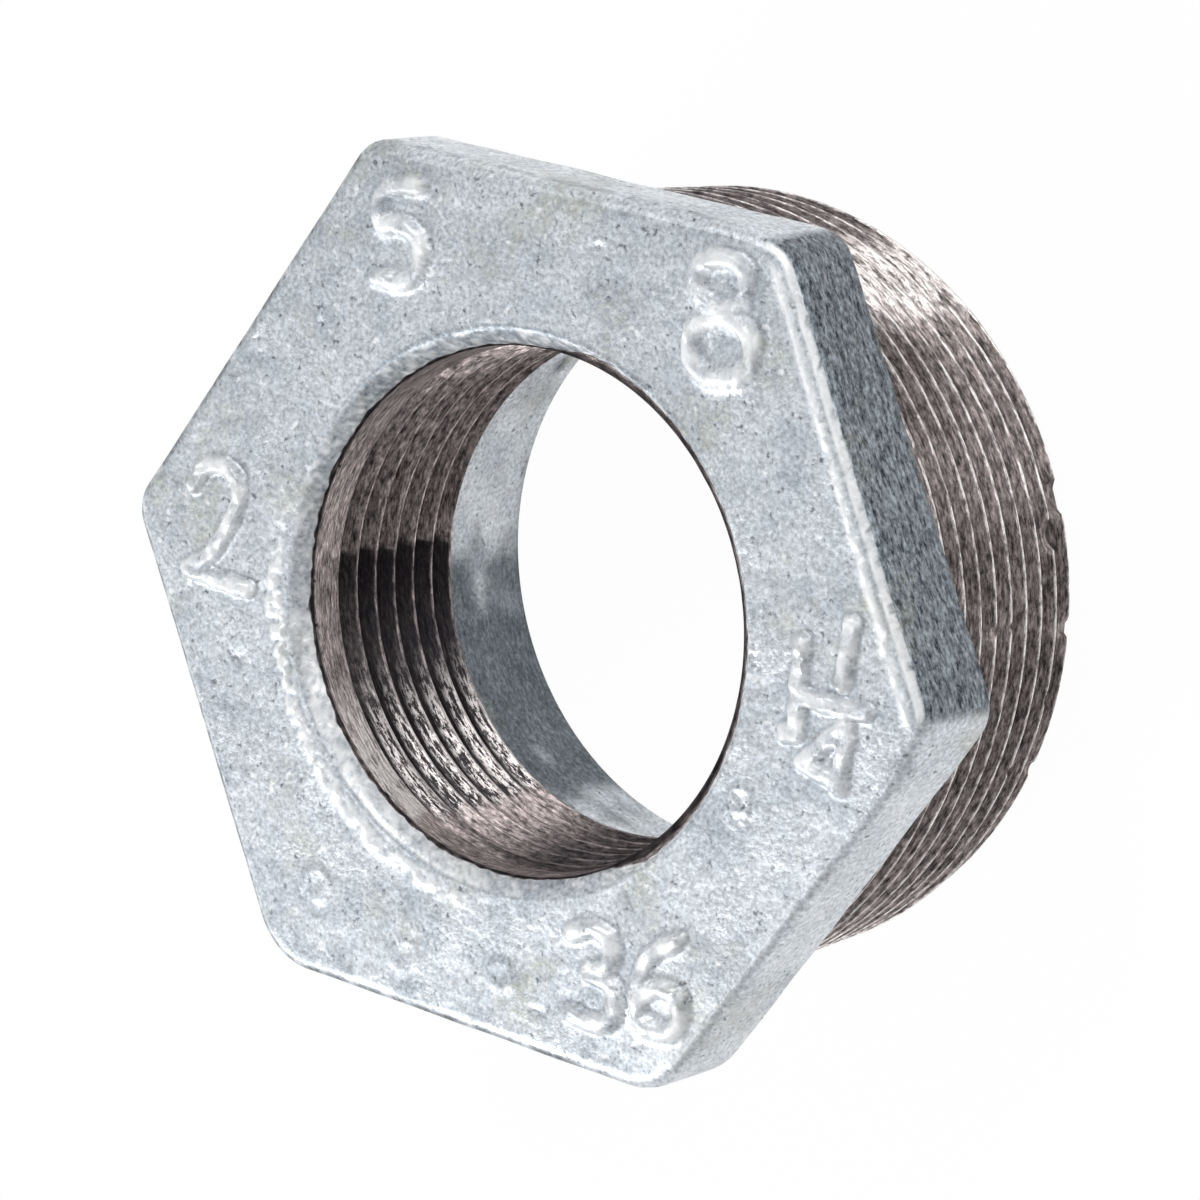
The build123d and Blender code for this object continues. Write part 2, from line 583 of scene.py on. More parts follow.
def lean(angle, z):
    # how far the proud flat has been pulled in at this height
    degrees = signed(math.degrees(angle))
    upper, lower = hexHead["proudLean"]
    first, last, soft = hexHead["leanZone"]
    amount = lerp(lower, upper, clamp(degrees / sideAngle)) * between(first, last, degrees, soft)
    flatHeight = hexHead["top"] - hexHead["edgeRound"] - hexHead["bottom"]
    return amount * clamp((z - hexHead["bottom"]) / flatHeight)


def headRadii(inset, z):
    # how far from the axis the head's wall is, in every direction
    outline = hexOutline(inset)
    return [crossing(outline, a) - lean(a, z) for a in fineAngles]


def flatWave(x, y, z):
    return hexHead["flatWaviness"] * lumps(x, y, z, hexHead["flatWaveSize"], 3.3)


def paintedShadeAtMouth(angle):
    # how dark the painted shade is round the top of the mouth
    degrees = math.degrees(angle)
    return mouth["paintedShadeAtTop"] * between(mouth["paintedShadeFrom"], mouth["paintedShadeTo"], degrees, mouth["soft"])


def faceRings():
    # from the mouth's rim over the face; also returns the heights of the last ring
    rimRadius = mouth["boreRadius"] + mouth["round"]
    outer = headRadii(hexHead["edgeRound"], hexHead["top"])
    rings = []
    for step in range(hexHead["ringsOnFace"] + 1):
        share = step / hexHead["ringsOnFace"]
        calm = smooth(0.0, 0.04, 1 - share) * smooth(0.0, 0.06, share)
        reach = [lerp(rimRadius, r, share) for r in outer]
        heights, whiteAndPaintedGlint, paintedShade = [], [], []
        for a, r in zip(fineAngles, reach):
            level, white = faceHeight(*polar(a, r))
            flat = hexHead["top"] + hexHead["rimCalm"] * (level - hexHead["top"])
            heights.append(lerp(flat, level, calm))
            whiteAndPaintedGlint.append(white * calm)
            paintedShade.append(paintedShadeAtMouth(a) * (1 - smooth(0.0, 0.05, share)))
        rings.append(skin.ring(fineAngles, reach, heights, 0.0, paintedShade, whiteAndPaintedGlint))
    return rings, heights


def edgeRings(faceHeights):
    # round the edge of the face
    steps = hexHead["ringsOnEdge"]
    rings = []
    for step in range(1, steps + 1):
        turn = math.radians(90 * step / steps)
        inset = round(hexHead["edgeRound"] * (1 - math.sin(turn)), 4)
        drop = hexHead["edgeRound"] * (1 - math.cos(turn))
        reach, shades, white = [], [], []
        for a, r in zip(fineAngles, headRadii(inset, hexHead["top"] - drop)):
            push = flatWave(*polar(a, r), hexHead["edgeWaveLevel"]) * step / steps
            reach.append(r - hexHead["flatsIn"] + push)
            ragged = lumps(*polar(a, shadeZones["edgeRadius"]), 0, shadeZones["edgeLumpSize"], 6.3)
            # the proud flat's painted shade starts raggedly on the second ring; the first ring is white
            # there, a painted highlight along the edge
            dark = [0.0, 0.8 * smooth(0.1, 0.4, ragged), 1.0][min(step, 3) - 1]
            shades.append(max(flatShade(a) * dark, rimShade(a, math.sin(turn))))
            white.append((1 - dark) * flatShade(a) * clamp(0.8 + 0.6 * ragged))
        heights = [z - drop for z in faceHeights]
        rings.append(skin.ring(fineAngles, reach, heights, 0.0, shades, white))
    return rings


def flankRings():
    # down the flats and in below
    top = hexHead["top"] - hexHead["edgeRound"]
    bottom = hexHead["bottom"] + hexHead["backBevel"]
    rings = []
    for step in range(1, hexHead["ringsOnFlank"] + 1):
        share = step / hexHead["ringsOnFlank"]
        z = lerp(top, bottom, share)
        fade = 1 - smooth(0.0, shadeZones["rimFade"], share)
        walls = zip(fineAngles, headRadii(0.0, z))
        reach = [r - hexHead["flatsIn"] + flatWave(*polar(a, r), z) for a, r in walls]
        # painted shade on the proud flat, and the rim's painted dark line fading out below the rim
        shades = [max(flatShade(a), rimShade(a, 1.0) * fade) for a in fineAngles]
        rings.append(skin.ring(fineAngles, reach, [z] * len(reach), 0.0, shades))
    under = headRadii(hexHead["backBevel"], hexHead["bottom"])
    rings.append(skin.ring(fineAngles, under, [hexHead["bottom"]] * len(under)))
    return rings


def headRings():
    # returns the head's ring at the mouth and its ring at the underside
    rings, heights = faceRings()
    faceEnd = len(rings)
    rings += edgeRings(heights)
    rings += flankRings()
    for index, (a, b) in enumerate(zip(rings, rings[1:])):
        skin.join(a, b, zincFace if index < faceEnd else zincFlats)
    return rings[0], rings[-1]


def grooveDepth(thread, turn, offset):
    # depth of the V at this height from its middle; it fades out over the last part of a turn
    fade = clamp((turn - thread["fullTurns"]) / thread["fadeTurns"])
    return max(0.0, thread["depth"] * (1 - fade) - abs(offset) / halfFlank)


def cutLook(thread, angle, z):
    # how much painted shade and painted highlight the cut metal has here
    degrees = math.degrees(angle) + zoneWander * lumps(angle * 40, 0, z, zoneWanderSize, 3.1)

    def inside(begin, full, wane, gone):
        return smooth(begin, full, degrees) * (1 - smooth(wane, gone, degrees))

    dark = max(amount * inside(*zone) for *zone, amount in thread["dark"])
    for low, high, amount in palerTowardsMouth:
        dark *= 1 - amount * smooth(low, high, z)
    return dark, inside(*thread["glint"])


def threadColumns(thread, surface):
    # columns of points that climb with the helix; the last column joins the first one turn higher
    columns = []
    for angle in coarseAngles:
        column = []
        for index in range(thread["turnsInMesh"] * len(turnRows)):
            whole, row = divmod(index, len(turnRows))
            turn = angle / fullTurn - thread["startAngle"] / 360 + whole
            offset = turnRows[row] * threadPitch
            height = thread["startHeight"] + threadPitch * turn + offset
            height = clamp(height, thread["bottom"], thread["top"])
            radius, cut = surface(thread, angle, height, grooveDepth(thread, turn, offset))
            crest = 1 - cut / thread["depth"]
            column.append(skin.point(*polar(angle, radius), height, crest, *cutLook(thread, angle, height)))
        columns.append(column)
    return columns


def joinColumns(columns, finish, flip):
    for i, column in enumerate(columns):
        last = i == len(columns) - 1
        beside = columns[0] if last else columns[i + 1]
        shift = len(turnRows) if last else 0
        for j in range(len(column) - 1 - shift):
            corners = (column[j], beside[j + shift], beside[j + 1 + shift], column[j + 1])
            skin.face(corners[::-1] if flip else corners, finish)


def outsideSurface(thread, angle, z, depth):
    # returns the radius here and how deep the metal is cut, by the groove, a nick or a chip
    crest = thread["crestRadius"] + z * threadTaper
    x, y = polar(angle, crest)
    nick = thread["nickDepth"] * smooth(*thread["nickEdge"], lumps(x, y, 1.2 * z, thread["nickSize"], 5.7))
    for side, level, wide, tall in thread["chips"]:
        away = math.hypot(signed(math.degrees(angle) - side) / wide, (z - level) / tall)
        if away < 1:
            nick = max(nick, thread["chipDepth"] * (1 - smooth(0.5, 1.0, away)))
    start, end = thread["nickFree"]
    cut = max(depth, nick * (1 - smooth(-start, -end, z - thread["top"])))
    return min(crest - cut, thread["chamferRadius"] + z), cut


def insideSurface(thread, angle, z, depth):
    # the same for the inside thread, which ends in a 45 degree step down to the cast bore
    crest = thread["crestRadius"] + (z - hexHead["top"]) * threadTaper
    endCrest = thread["crestRadius"] + (thread["stepTop"] - hexHead["top"]) * threadTaper
    return max(crest + depth, endCrest + thread["stepTop"] - z), depth


def mouthEnd(angle):
    # degrees down the mouth's round where the zinc stops
    cut = between(mouth["cutFrom"], mouth["cutTo"], signed(math.degrees(angle)), mouth["cutSoft"])
    ragged = mouth["raggedness"] * lumps(*polar(angle, mouth["lumpRadius"]), 0, 0.8, 9.1)
    return min(lerp(mouth["zincEnds"], mouth["zincEndsCut"], cut) + ragged, mouth["endsAtMost"])


def mouthPoint(angle, turn):
    # radius and height on the lip, this far down its round
    x, y = polar(angle, mouth["lumpRadius"])
    size = mouth["round"] + mouth["lumpiness"] * lumps(x, y, 4 * turn, 1.7, 7.7) * math.sin(2 * turn)
    share = turn / math.radians(90)
    inward = lerp(math.sin(turn), share, mouth["bevelShare"])
    upward = lerp(math.cos(turn), 1 - share, mouth["bevelShare"])
    radius = mouth["boreRadius"] + mouth["round"] - size * inward
    return radius, hexHead["top"] - mouth["round"] + size * upward


def mouthWhite(angle, step):
    # the lip's zinc is white in patches, and painted light makes it whiter at the lower left
    x, y = polar(angle, mouth["lumpRadius"])
    patch = mouth["white"] + mouth["whiteSwing"] * lumps(x, y, step, mouth["whiteSize"], 4.2)
    whiter = between(mouth["whiteFrom"], mouth["whiteTo"], math.degrees(angle), mouth["soft"])
    return clamp(patch + mouth["whiter"] * whiter)


def mouthRings(firstRing):
    # the rounded lip between the face and the thread, zinc first and cut iron below; returns its lowest ring
    rings = [firstRing]
    zincRings, ironRings = mouth["zincRings"], mouth["ironRings"]
    ends = [mouthEnd(a) for a in fineAngles]
    for step in range(1, zincRings + ironRings + 1):
        if step <= zincRings:
            turns = [end * step / zincRings for end in ends]
            crest = mouth["zincCrest"]
            shades = [paintedShadeAtMouth(a) for a in fineAngles]
            white = [mouthWhite(a, step) for a in fineAngles]
        else:
            turns = [lerp(end, 90, (step - zincRings) / ironRings) for end in ends]
            # painted shade: a dark ragged line where the cut iron meets the zinc
            crest = mouth["ironCrest"]
            places = [polar(a, mouth["lumpRadius"]) for a in fineAngles]
            shades = [clamp(0.8 + 0.9 * lumps(x, y, 0, 0.7, 8.8)) for x, y in places]
            white = None
        reach, heights = zip(*(mouthPoint(a, math.radians(turn)) for a, turn in zip(fineAngles, turns)))
        rings.append(skin.ring(fineAngles, reach, heights, crest, shades, white))
    for index, (a, b) in enumerate(zip(rings, rings[1:])):
        skin.join(b, a, zincFace if index < zincRings else insideIron)
    return rings[-1]


def boreShade(angle, z):
    # painted shade makes the lower left of the cast wall darker and mottled, and there is one dark flaw
    degrees = math.degrees(angle)
    ragged = castBore["darkRagged"] * lumps(degrees / 4, 0, z, 2.2, 5.5)
    wall = between(castBore["darkFrom"], castBore["darkTo"], degrees + ragged, castBore["darkSoft"])
    side, level = castBore["spot"]
    away = math.hypot(math.radians(degrees - side) * castBore["radius"], z - level)
    return max(castBore["darkAmount"] * wall, 1 - smooth(0.4, 1.0, away / castBore["spotSize"]))


def boreRings():
    # the threaded end's flat face and the cast bore up to the ring where the step begins
    ends = (outsideThread["chamferRadius"], castBore["endRing"], castBore["radius"] + castBore["bevel"])
    outer, middle, previous = [skin.circle(radius, 0.0) for radius in ends]
    skin.join(middle, outer, outsideIron)
    skin.join(previous, middle, outsideIron)
    for step in range(castBore["rings"] + 1):
        share = step / castBore["rings"]
        z = lerp(castBore["bevel"], insideThread["bottom"], share)
        radii = []
        for a in coarseAngles:
            swell = 0.5 + 0.5 * lumps(*polar(a, castBore["radius"]), z, castBore["waveSize"], 2.2)
            radii.append(castBore["radius"] - math.sin(math.pi * share) * castBore["waviness"] * swell)
        shades = [boreShade(a, z) for a in coarseAngles]
        ring = skin.ring(coarseAngles, radii, [z] * len(radii), 0.0, shades)
        skin.join(ring, previous, zincBore)
        previous = ring


def buildSkin():
    faceRim, underRim = headRings()
    print("head done:", len(skin.points), "points")
    neckRadius = outsideThread["crestRadius"] + outsideThread["top"] * threadTaper
    skin.join(underRim, skin.circle(neckRadius, outsideThread["top"]), zincFlats)
    joinColumns(threadColumns(outsideThread, outsideSurface), outsideIron, False)
    print("outside thread done:", len(skin.points), "points")
    boreRings()
    lip = mouthRings(faceRim)
    collarRadius = insideSurface(insideThread, 0.0, insideThread["top"], 0.0)[0]
    skin.join(skin.circle(collarRadius, insideThread["top"]), lip, insideIron)
    joinColumns(threadColumns(insideThread, insideSurface), insideIron, True)
    print("inside thread done:", len(skin.points), "points")


samePoint = 2e-6  # points that are closer than this become one, in metres
noLength = 1e-6  # edges that are shorter than this are taken out, in metres
sharpAngle = 48  # faces that meet at more than this keep a crisp edge


def makeBushing():
    buildSkin()
    mesh = bpy.data.meshes.new("castBushing")
    mesh.from_pydata(skin.points, [], skin.faces)
    mesh.polygons.foreach_set("material_index", skin.finish)
    for name, values in (("crest", skin.crest), ("shade", skin.shade), ("whiteAndPaintedGlint", skin.whiteAndPaintedGlint)):
        layer = mesh.attributes.new(name, "FLOAT", "POINT")
        layer.data.foreach_set("value", values)
    worked = bmesh.new()
    worked.from_mesh(mesh)
    bmesh.ops.remove_doubles(worked, verts=worked.verts, dist=samePoint)
    bmesh.ops.dissolve_degenerate(worked, edges=worked.edges, dist=noLength)
    loose = [v for v in worked.verts if not v.link_faces]
    bmesh.ops.delete(worked, geom=loose, context="VERTS")
    bmesh.ops.recalc_face_normals(worked, faces=worked.faces)
    openEdges = sum(1 for e in worked.edges if len(e.link_faces) != 2)
    triangles = sum(len(f.verts) - 2 for f in worked.faces)
    worked.to_mesh(mesh)
    worked.free()
    mesh.shade_smooth()
    mesh.set_sharp_from_angle(angle=math.radians(sharpAngle))
    piece = bpy.data.objects.new("castBushing", mesh)
    bpy.context.scene.collection.objects.link(piece)
    print("bushing meshed:", triangles, "triangles,", openEdges, "open edges")
    return piece


def newFinish(name):
    material = bpy.data.materials.new(name)
    material.use_nodes = True
    tree = material.node_tree
    tree.nodes.clear()
    return material, tree


def put(tree, kind, inputs=None, **settings):
    node = tree.nodes.new(kind)
    for key, value in settings.items():
        setattr(node, key, value)
    for key, value in (inputs or {}).items():
        socket = node.inputs[key]
        if isinstance(value, bpy.types.NodeSocket):
            tree.links.new(value, socket)
        else:
            socket.default_value = value
    return node


def valueAt(tree, name):
    return put(tree, "ShaderNodeAttribute", attribute_name=name).outputs["Fac"]


def noiseAt(tree, place, scale, detail, roughness, stretch=None):
    if stretch:
        place = put(tree, "ShaderNodeMapping", {"Vector": place, "Scale": stretch}).outputs[0]
    return put(tree, "ShaderNodeTexNoise",
               {"Vector": place, "Scale": scale, "Detail": detail, "Roughness": roughness}).outputs["Fac"]


def remap(tree, value, low, high, toLow=0.0, toHigh=1.0):
    return put(tree, "ShaderNodeMapRange", {0: value, 1: low, 2: high, 3: toLow, 4: toHigh}).outputs[0]


def times(tree, a, b):
    return put(tree, "ShaderNodeMath", {0: a, 1: b}, operation="MULTIPLY").outputs[0]


def plus(tree, a, b):
    return put(tree, "ShaderNodeMath", {0: a, 1: b}, operation="ADD").outputs[0]


def blend(tree, share, first, second, mode="MIX"):
    node = put(tree, "ShaderNodeMix", {0: share, 6: first, 7: second}, data_type="RGBA", blend_type=mode)
    return node.outputs[2]


def ramp(tree, value, places, colours):
    # one colour up to the first place, the other from the second one on
    node = put(tree, "ShaderNodeValToRGB", {0: value})
    for mark, place, colour in zip(node.color_ramp.elements, places, colours):
        mark.position = place
        mark.color = (*colour, 1)
    return node.outputs[0]


def closeFinish(tree, look, colour, roughness, height, more):
    bump = put(tree, "ShaderNodeBump", {
        "Height": height, "Strength": look["bump"], "Distance": look["bumpDepth"]})
    inputs = {"Base Color": colour, "Roughness": roughness, "Normal": bump.outputs[0], **more}
    shader = put(tree, "ShaderNodeBsdfPrincipled", inputs)
    put(tree, "ShaderNodeOutputMaterial", {"Surface": shader.outputs[0]})


def grey(tree, value):
    return put(tree, "ShaderNodeCombineColor", {0: value, 1: value, 2: value}).outputs[0]


# noises are scale, detail and roughness, then the stretch along X, Y and Z if they have one
# ranges are where a noise or value begins and ends to count, then what it gives at both ends, or else 0 and 1
zincLook = {
    "paleColour": (0.68, 0.715, 0.75),
    "greyColour": (0.4, 0.44, 0.485),
    "whiteColour": (1.0, 1.0, 1.0, 1),
    "speckColour": (0.11, 0.12, 0.13, 1),
    "stainColour": (0.42, 0.41, 0.3, 1),
    "paintedShadeColour": (0.045, 0.065, 0.085),  # painted shade, dark: on the proud flat, whose zinc is also thin, along the rim, at the top of the mouth and in the bore
    "paintedShadeColourPale": (0.36, 0.41, 0.46),
    "metal": 0.45,
    "metalWhite": 0.1,
    "mottle": (240, 6.0, 0.65),
    "grain": (3000, 3.0, 0.65),
    "specks": (1500, 3.0, 0.55),
    "crystals": (1050, 2.0, 0.5, (1.0, 1.0, 0.6)),
    "stains": (150, 4.0, 0.6),
    "patches": (168, 3.0, 0.5),
    "brushed": (3000, 4.0, 0.75),
    "brushedWay": (0, 0, math.radians(30)),  # the brushed look of the shaded, thin zinc runs along the proud flat
    "brushedStretch": (1.0, 2.6, 1.0),
    "mottleRange": (0.32, 0.66),
    "brushedRange": (0.36, 0.68),
    "stainRange": (0.53, 0.68, 0.0, 0.5),
    "stainBreaks": (0.4, 0.6, 0.2, 1.0),
    "grainTone": (0.32, 0.68, 0.62, 1.21),
    "speckRange": (0.36, 0.27, 0.0, 0.8),
    "crystalRange": (0.64, 0.74, 0.0, 0.5),
    "crystalsInShade": (0.0, 0.4, 1.0, 0.15),
    "roughRange": (0.3, 0.7, 0.6, 0.36),
    "whiteAndPaintedGlintRough": (0.4, 1.0, 1.0, 0.6),
    "grainHeight": 0.5,  # next to that of the specks
    "crystalHeight": 0.6,
    "patchHeight": (0.4, 0.62, 0.3, 1.1),
    "bump": 0.9,
    "bumpDepth": 0.00005,
}

# a paler copy of the face's zinc: painted light on the flats
flatsLook = {
    **zincLook,
    "paleColour": (0.78, 0.815, 0.85),
    "greyColour": (0.63, 0.665, 0.705),
    "metal": 0.75,
    "paintedShadeColour": (0.015, 0.023, 0.033),
    "paintedShadeColourPale": (0.43, 0.48, 0.53),
}

# a paler copy of the face's zinc: painted light in the bore
boreLook = {
    **zincLook,
    "paleColour": (0.86, 0.9, 0.94),
    "greyColour": (0.68, 0.72, 0.77),
    "metal": 0.6,
    "paintedShadeColour": (0.02, 0.03, 0.04),
    "paintedShadeColourPale": (0.22, 0.26, 0.3),
}


def makeZinc(name, look):
    material, tree = newFinish(name)
    place = put(tree, "ShaderNodeTexCoord").outputs["Object"]
    kinds = ("mottle", "grain", "specks", "crystals", "stains", "patches")
    mottle, grain, specks, crystals, stains, patches = [noiseAt(tree, place, *look[kind]) for kind in kinds]
    alongFlat = put(tree, "ShaderNodeMapping", vector_type="TEXTURE", inputs={
        "Vector": place, "Rotation": look["brushedWay"], "Scale": look["brushedStretch"]}).outputs[0]
    brushed = noiseAt(tree, alongFlat, *look["brushed"])
    shade = valueAt(tree, "shade")
    whiteAndPaintedGlint = valueAt(tree, "whiteAndPaintedGlint")

    # mottled zinc, darkened by painted shade and by thin zinc, then stains, grain, dark specks, and white for
    # crystals, whiter zinc and painted highlights
    colour = ramp(tree, mottle, look["mottleRange"], (look["greyColour"], look["paleColour"]))
    paintedShade = ramp(tree, brushed, look["brushedRange"], (look["paintedShadeColour"], look["paintedShadeColourPale"]))
    colour = blend(tree, shade, colour, paintedShade)
    stain = times(tree, remap(tree, stains, *look["stainRange"]), remap(tree, specks, *look["stainBreaks"]))
    colour = blend(tree, stain, colour, look["stainColour"])
    colour = blend(tree, 1.0, colour, grey(tree, remap(tree, grain, *look["grainTone"])), "MULTIPLY")
    colour = blend(tree, remap(tree, specks, *look["speckRange"]), colour, look["speckColour"])
    shine = remap(tree, crystals, *look["crystalRange"])
    shine = times(tree, shine, remap(tree, shade, *look["crystalsInShade"]))
    # white for crystals, whiter zinc and painted highlights, the last two from the points' values
    white = plus(tree, shine, whiteAndPaintedGlint)
    colour = blend(tree, white, colour, look["whiteColour"])

    roughness = remap(tree, mottle, *look["roughRange"])
    roughness = times(tree, roughness, remap(tree, whiteAndPaintedGlint, *look["whiteAndPaintedGlintRough"]))
    height = plus(tree, specks, times(tree, crystals, look["crystalHeight"]))
    height = plus(tree, times(tree, grain, look["grainHeight"]), height)
    height = times(tree, height, remap(tree, patches, *look["patchHeight"]))
    metal = remap(tree, white, 0.0, 1.0, look["metal"], look["metalWhite"])
    closeFinish(tree, look, colour, roughness, height, {"Metallic": metal})
    return material


outsideLook = {
    # painted shade deep in the thread's roots
    "rootShadeColour": (0.02, 0.017, 0.017),
    "flankColour": (0.255, 0.218, 0.21),
    "crestColour": (0.88, 0.81, 0.79, 1),
    # painted shade of the dark zones
    "darkColour": (0.022, 0.02, 0.025, 1),
    # painted highlight of the bright zone, its glints and sheen
    "glintColour": (1.0, 0.94, 0.92, 1),
    "edgeTint": (0.3, 0.27, 0.27, 1),  # the metal stays dark where it is seen at a glancing angle
    "metal": 0.75,
    "metalGlint": 0.35,
    "streaks": (900, 5.0, 0.75, (0.8, 0.8, 8.5)),
    "patches": (170, 5.0, 0.65),
    "tears": (1700, 4.0, 0.75, (0.8, 0.8, 3.8)),
    "breaks": (700, 3.0, 0.7),
    "flankRange": (0.12, 0.5),  # from the root's painted shade to where the flank has its own colour
    "topRange": (0.93, 0.99),  # the bright line on the crest: polished metal and painted highlight
    "topBreaks": (0.36, 0.52, 0.25, 1.0),
    "topInDark": 0.55,  # how much of that line shows in the painted shade of the dark zones
    "topGlint": 0.4,
    "streakTone": (0.36, 0.64, 0.25, 1.95),
    "patchTone": (0.3, 0.7, 0.8, 1.2),
    "tearTone": (0.36, 0.64, 0.35, 1.75),
    "darkAmount": 0.93,
    # where the painted glints fall: by the tears, the streaks and the height on the thread
    "fleckTears": (0.4, 0.46),
    "fleckStreaks": (0.48, 0.53),
    "fleckCrest": (0.48, 0.72),
    "sheen": (0.4, 0.5, 0.0, 0.3),  # painted sheen, the smooth part of the bright zone
    "roughRange": (0.3, 0.7, 0.3, 0.46),
    "tearHeight": 0.7,  # next to that of the streaks
    "bump": 0.6,
    "bumpDepth": 0.00008,
}

insideLook = {
    **outsideLook,
    "flankColour": (0.34, 0.29, 0.283),
    "crestColour": (0.43, 0.37, 0.36, 1),
    "sheen": (0.4, 0.5, 0.0, 0.0),
}


def makeIron(name, look):
    material, tree = newFinish(name)
    place = put(tree, "ShaderNodeTexCoord").outputs["Object"]
    kinds = ("streaks", "patches", "tears", "breaks")
    streaks, patches, tears, breaks = [noiseAt(tree, place, *look[kind]) for kind in kinds]
    # the crest's height, and the painted shade and painted glint that each point carries
    crest, shade, glint = [valueAt(tree, kind) for kind in ("crest", "shade", "whiteAndPaintedGlint")]

    # painted shade in the roots, a broken bright line on the crests of polished metal and painted highlight,
    # then the tool's streaks and tears over all
    topLine = times(tree, remap(tree, crest, *look["topRange"]), remap(tree, breaks, *look["topBreaks"]))
    colour = ramp(tree, crest, look["flankRange"], (look["rootShadeColour"], look["flankColour"]))
    colour = blend(tree, topLine, colour, look["crestColour"])
    tone = times(tree, remap(tree, streaks, *look["streakTone"]), remap(tree, patches, *look["patchTone"]))
    tone = times(tree, tone, remap(tree, tears, *look["tearTone"]))
    colour = blend(tree, 1.0, colour, grey(tree, tone), "MULTIPLY")

    # painted shade in the dark zones, and the bright zone's flecks of painted glint
    kept = times(tree, topLine, look["topInDark"])
    calm = put(tree, "ShaderNodeMath", {0: 1.0, 1: kept}, operation="SUBTRACT").outputs[0]
    dark = times(tree, shade, times(tree, calm, look["darkAmount"]))
    colour = blend(tree, dark, colour, look["darkColour"])
    glintFlecks = remap(tree, tears, *look["fleckTears"])
    glintFlecks = times(tree, glintFlecks, remap(tree, streaks, *look["fleckStreaks"]))
    glintFlecks = times(tree, glintFlecks, remap(tree, crest, *look["fleckCrest"]))
    glintFlecks = plus(tree, glintFlecks, remap(tree, streaks, *look["sheen"]))
    lit = times(tree, glint, plus(tree, glintFlecks, times(tree, topLine, look["topGlint"])))
    colour = blend(tree, lit, colour, look["glintColour"])

    roughness = remap(tree, patches, *look["roughRange"])
    height = plus(tree, streaks, times(tree, tears, look["tearHeight"]))
    metal = remap(tree, lit, 0.0, 1.0, look["metal"], look["metalGlint"])
    more = {"Metallic": metal, "Specular Tint": look["edgeTint"]}
    closeFinish(tree, look, colour, roughness, height, more)
    return material


piece = makeBushing()
for material in (
    makeZinc("galvanisedFace", zincLook),
    makeZinc("galvanisedFlats", flatsLook),
    makeIron("cutIronOutside", outsideLook),
    makeIron("cutIronInside", insideLook),
    makeZinc("galvanisedBore", boreLook),
):
    piece.data.materials.append(material)
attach(piece, bodyName)
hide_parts(nodeName)
print("finishes done")


studio = {
    "floorRadius": 3.0,
    "floorSides": 96,
    "floorDrop": 0.0002,  # how far the floor lies below the part
    "wallHeight": 0.6,
    "wallFlare": 1.1,
    "floorColour": (0.9, 0.9, 0.9, 1),
    "glow": 0.98,  # share of plain white that the camera sees in place of the lit floor
    "roomColour": (0.94, 0.97, 1.0, 1),
    "roomBright": 0.4,
    "roomDim": 0.08,  # the dim gap between the lamps, above the photographer
    "dimSide": (0.46, -0.1, 0.88),
    "dimRange": (0.55, 0.92),
}

# round lamps that face the part: the way to each of them, how far away it is, how wide and how bright
lamps = {
    "key": {"towards": (-0.50, -0.66, 0.60), "away": 0.9, "size": 0.3, "power": 5.4},
    "high": {"towards": (0.07, -0.46, 0.90), "away": 0.9, "size": 0.4, "power": 0.4},
    "far": {"towards": (-0.07, 0.57, 0.82), "away": 0.9, "size": 0.18, "power": 3.0},
    "side": {"towards": (0.66, 0.46, 0.60), "away": 0.9, "size": 0.2, "power": 1.6},
}


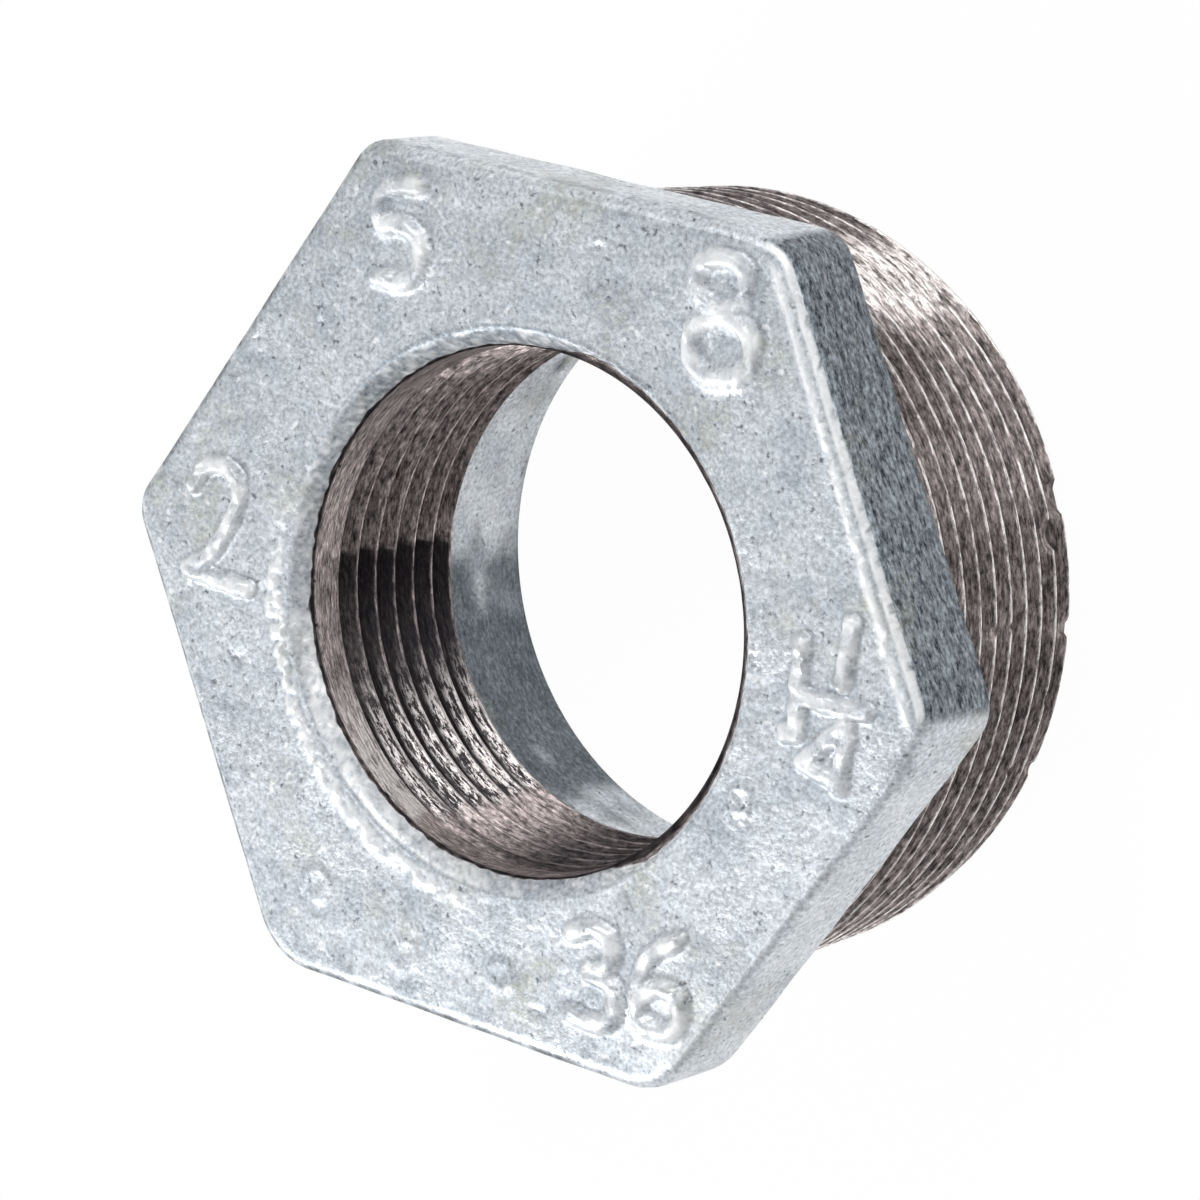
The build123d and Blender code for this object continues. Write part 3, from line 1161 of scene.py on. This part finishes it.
def makeFloor():
    worked = bmesh.new()
    sides, radius = studio["floorSides"], studio["floorRadius"]
    bmesh.ops.create_circle(worked, cap_ends=True, segments=sides, radius=radius)
    rim = [e for e in worked.edges if e.is_boundary]
    lifted = bmesh.ops.extrude_edge_only(worked, edges=rim)["geom"]
    for part in lifted:
        if isinstance(part, bmesh.types.BMVert):
            part.co.z += studio["wallHeight"]
            part.co.xy *= studio["wallFlare"]
    mesh = bpy.data.meshes.new("paleFloor")
    worked.to_mesh(mesh)
    worked.free()
    floor = bpy.data.objects.new("paleFloor", mesh)
    floor.location.z = -studio["floorDrop"]
    bpy.context.scene.collection.objects.link(floor)
    material, tree = newFinish("paleFloor")
    # the camera and mirrors see the floor plain white; what it sheds on the part comes from the lamps
    rays = put(tree, "ShaderNodeLightPath")
    seen = plus(tree, rays.outputs["Is Camera Ray"], rays.outputs["Is Glossy Ray"])
    seen = plus(tree, seen, rays.outputs["Is Transmission Ray"])
    share = times(tree, put(tree, "ShaderNodeClamp", {0: seen}).outputs[0], studio["glow"])
    lit = put(tree, "ShaderNodeBsdfDiffuse", {"Color": studio["floorColour"]})
    white = put(tree, "ShaderNodeEmission", {"Color": (1, 1, 1, 1), "Strength": 1.0})
    both = put(tree, "ShaderNodeMixShader", {0: share, 1: lit.outputs[0], 2: white.outputs[0]})
    put(tree, "ShaderNodeOutputMaterial", {"Surface": both.outputs[0]})
    mesh.materials.append(material)


def makeLamps():
    for name, lamp in lamps.items():
        light = bpy.data.lights.new(name + "Lamp", "AREA")
        light.shape = "DISK"
        light.size = lamp["size"]
        light.energy = lamp["power"]
        holder = bpy.data.objects.new(name + "Lamp", light)
        way = Vector(lamp["towards"]).normalized()
        holder.location = way * lamp["away"]
        holder.rotation_euler = way.to_track_quat("Z", "Y").to_euler()
        bpy.context.scene.collection.objects.link(holder)
    world = bpy.data.worlds.new("softRoom")
    world.use_nodes = True
    tree = world.node_tree
    background = tree.nodes["Background"]
    way = put(tree, "ShaderNodeTexCoord").outputs["Generated"]
    facing = put(tree, "ShaderNodeVectorMath", {0: way, 1: Vector(studio["dimSide"]).normalized()},
                 operation="DOT_PRODUCT").outputs["Value"]
    strength = remap(tree, facing, *studio["dimRange"], studio["roomBright"], studio["roomDim"])
    background.inputs["Color"].default_value = studio["roomColour"]
    tree.links.new(strength, background.inputs["Strength"])
    bpy.context.scene.world = world


# found by fitting the part's size and edges to the photo
cameraPlace = {
    "position": (0.204758, 0.086748, 0.319329),
    "right": (0.801613, 0.125468, -0.584529),
    "up": (-0.236997, 0.964315, -0.118025),
    "back": (0.548861, 0.233142, 0.802743),
    "lens": 151.723,
    "sensor": 36.0,
    "nearest": 0.01,
}


def makeCamera():
    lens = bpy.data.cameras.new("photoCamera")
    lens.lens = cameraPlace["lens"]
    lens.sensor_width = cameraPlace["sensor"]
    lens.clip_start = cameraPlace["nearest"]
    holder = bpy.data.objects.new("photoCamera", lens)
    turned = Matrix((cameraPlace["right"], cameraPlace["up"], cameraPlace["back"])).transposed()
    holder.matrix_world = Matrix.Translation(cameraPlace["position"]) @ turned.to_4x4()
    bpy.context.scene.collection.objects.link(holder)
    bpy.context.scene.camera = holder


makeFloor()
makeLamps()
makeCamera()
bpy.context.scene.view_settings.view_transform = "Standard"
print("floor, lamps and camera done")
